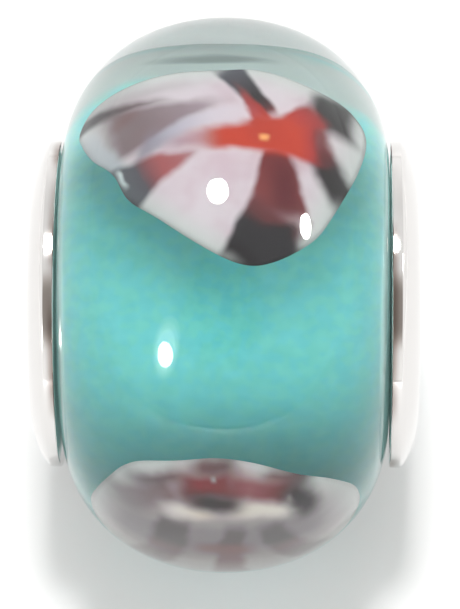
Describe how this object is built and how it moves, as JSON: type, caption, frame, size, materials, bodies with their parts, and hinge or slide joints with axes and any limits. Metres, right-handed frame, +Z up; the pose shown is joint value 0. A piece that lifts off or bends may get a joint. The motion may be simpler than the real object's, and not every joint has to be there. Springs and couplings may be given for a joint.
{
  "type": "european charm bead",
  "caption": "Barrel-shaped large-hole charm bead of teal glass under clear glass with inlaid glass flowers, lined with a pair of polished metal eyelets.",
  "frame": {"origin": "middle of the hole, on its axis", "axes": "+X along the hole to the right eyelet, +Z up as the bead lies on its crown, -Y towards the picture's viewer"},
  "size_m": [0.0098, 0.014, 0.014],
  "materials": {
    "clear_glass": "clear, fire polished",
    "teal_glass": "translucent teal, smooth",
    "white_glass": "opaque white with a lilac tinge",
    "red_glass": "red at the heart, maroon to black at the tips",
    "polished_silver": "polished silver"
  },
  "bodies": {
    "root": {"clear_casing": "clear_glass", "teal_core": "teal_glass", "left_eyelet": "polished_silver", "right_eyelet": "polished_silver", "flower_1_star": "red_glass", "flower_2_star": "red_glass", "flower_3_star": "red_glass", "flower_4_star": "red_glass", "flower_1_petal_1": "white_glass", "flower_1_petal_2": "white_glass", "flower_1_petal_3": "white_glass", "flower_1_petal_4": "white_glass", "flower_1_petal_5": "white_glass", "flower_1_petal_6": "white_glass", "flower_2_petal_1": "white_glass", "flower_2_petal_2": "white_glass", "flower_2_petal_3": "white_glass", "flower_2_petal_4": "white_glass", "flower_2_petal_5": "white_glass", "flower_2_petal_6": "white_glass", "flower_3_petal_1": "white_glass", "flower_3_petal_2": "white_glass", "flower_3_petal_3": "white_glass", "flower_3_petal_4": "white_glass", "flower_3_petal_5": "white_glass", "flower_3_petal_6": "white_glass", "flower_4_petal_1": "white_glass", "flower_4_petal_2": "white_glass", "flower_4_petal_3": "white_glass", "flower_4_petal_4": "white_glass", "flower_4_petal_5": "white_glass", "flower_4_petal_6": "white_glass"}
  },
  "joints": []
}
